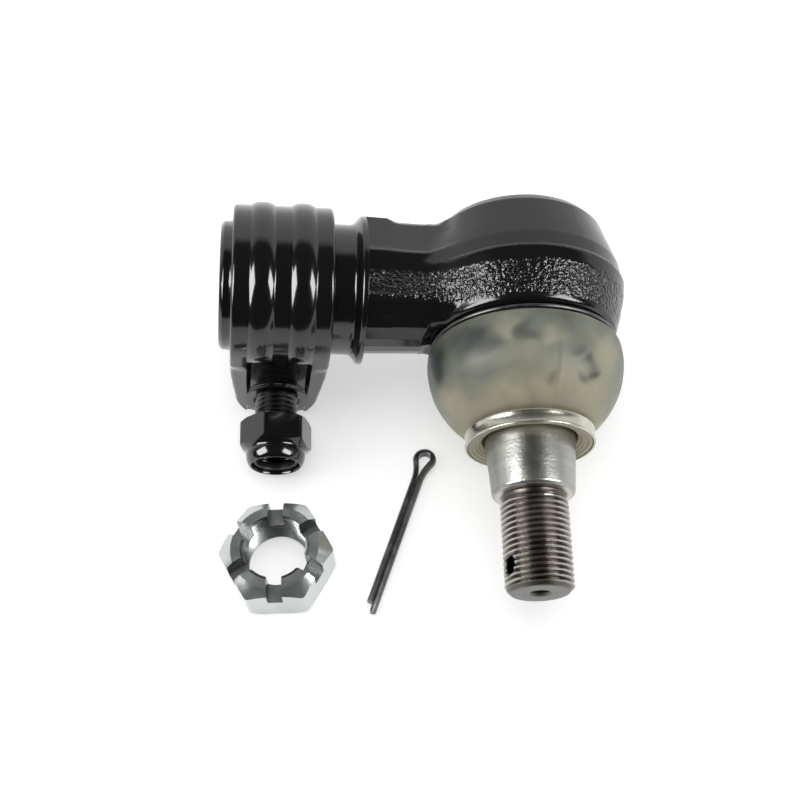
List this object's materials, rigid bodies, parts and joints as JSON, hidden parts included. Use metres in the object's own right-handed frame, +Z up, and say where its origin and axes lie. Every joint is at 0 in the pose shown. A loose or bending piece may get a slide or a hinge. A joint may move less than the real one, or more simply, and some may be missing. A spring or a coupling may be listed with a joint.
{
  "type": "tie rod end",
  "caption": "Heavy-vehicle tie rod end: forged housing with clamped tube end, tapered ball stud under a dust boot, with loose castle nut and split pin.",
  "frame": {"origin": "middle of the flat pad on the housing's cover, on the ball stud's axis", "axes": "+Z up from the surface it lies on, +Y towards the cover and away from the stud, -X towards the clamped tube"},
  "size_m": [0.1509, 0.1564, 0.084],
  "materials": {
    "black_forging": "gloss black paint over a forged skin",
    "black_pressing": "smooth gloss black paint",
    "ground_steel": "ground taper, rolled thread",
    "dark_steel": "dark oiled steel",
    "zinc": "bright zinc plate",
    "boot_urethane": "translucent grey-olive polyurethane",
    "black_rubber": "matt rubber",
    "bearing_plastic": "natural acetal",
    "lock_nylon": "dark nylon"
  },
  "bodies": {
    "housing": {"housing": "black_forging", "cover_plate": "black_pressing", "cover_seal": "black_rubber", "disc_spring_outer": "dark_steel", "disc_spring_inner": "dark_steel", "pressure_plate": "dark_steel", "boot_clip_ring": "zinc"},
    "seat_and_boot": {"bearing_shell_back": "bearing_plastic", "bearing_shell_front": "bearing_plastic", "dust_boot": "boot_urethane"},
    "boot_collar": {"boot_collar": "zinc"},
    "ball_stud": {"ball_stud": "ground_steel"},
    "clamp": {"clamp_band": "black_pressing", "clamp_bolt": "black_pressing"},
    "clamp_nut": {"clamp_nut": "black_pressing", "clamp_nut_insert": "lock_nylon"},
    "castle_nut": {"castle_nut": "zinc"},
    "cotter_pin": {"cotter_pin": "dark_steel"}
  },
  "joints": [
    {"name": "stud_swing_direction", "type": "hinge", "parent": "housing", "child": "seat_and_boot", "pos_m": [0, -0.02728, -0.00258], "axis": [0, 0.9955, 0.0943], "continuous": true},
    {"name": "stud_swing", "type": "hinge", "parent": "seat_and_boot", "child": "boot_collar", "pos_m": [0, -0.02728, -0.00258], "axis": [0.9873, 0.015, -0.1585], "range_deg": [-18, 18], "deforming": ["dust_boot"]},
    {"name": "stud_spin", "type": "hinge", "parent": "boot_collar", "child": "ball_stud", "pos_m": [0, -0.02728, -0.00258], "axis": [0, -0.9955, -0.0943], "continuous": true},
    {"name": "clamp_turn", "type": "hinge", "parent": "housing", "child": "clamp", "pos_m": [-0.08737, -0.02861, 0.01144], "axis": [-0.9873, -0.015, 0.1585], "continuous": true},
    {"name": "clamp_nut_turn", "type": "hinge", "parent": "clamp", "child": "clamp_nut", "pos_m": [-0.09294, -0.06517, -0.02673], "axis": [0, -0.9955, -0.0943], "continuous": true},
    {"name": "castle_nut_lift", "type": "slide", "parent": "housing", "child": "castle_nut", "axis": [0, 0, 1], "range_m": [0, 0.06]},
    {"name": "cotter_pin_lift", "type": "slide", "parent": "housing", "child": "cotter_pin", "axis": [0, 0, 1], "range_m": [0, 0.06]}
  ]
}
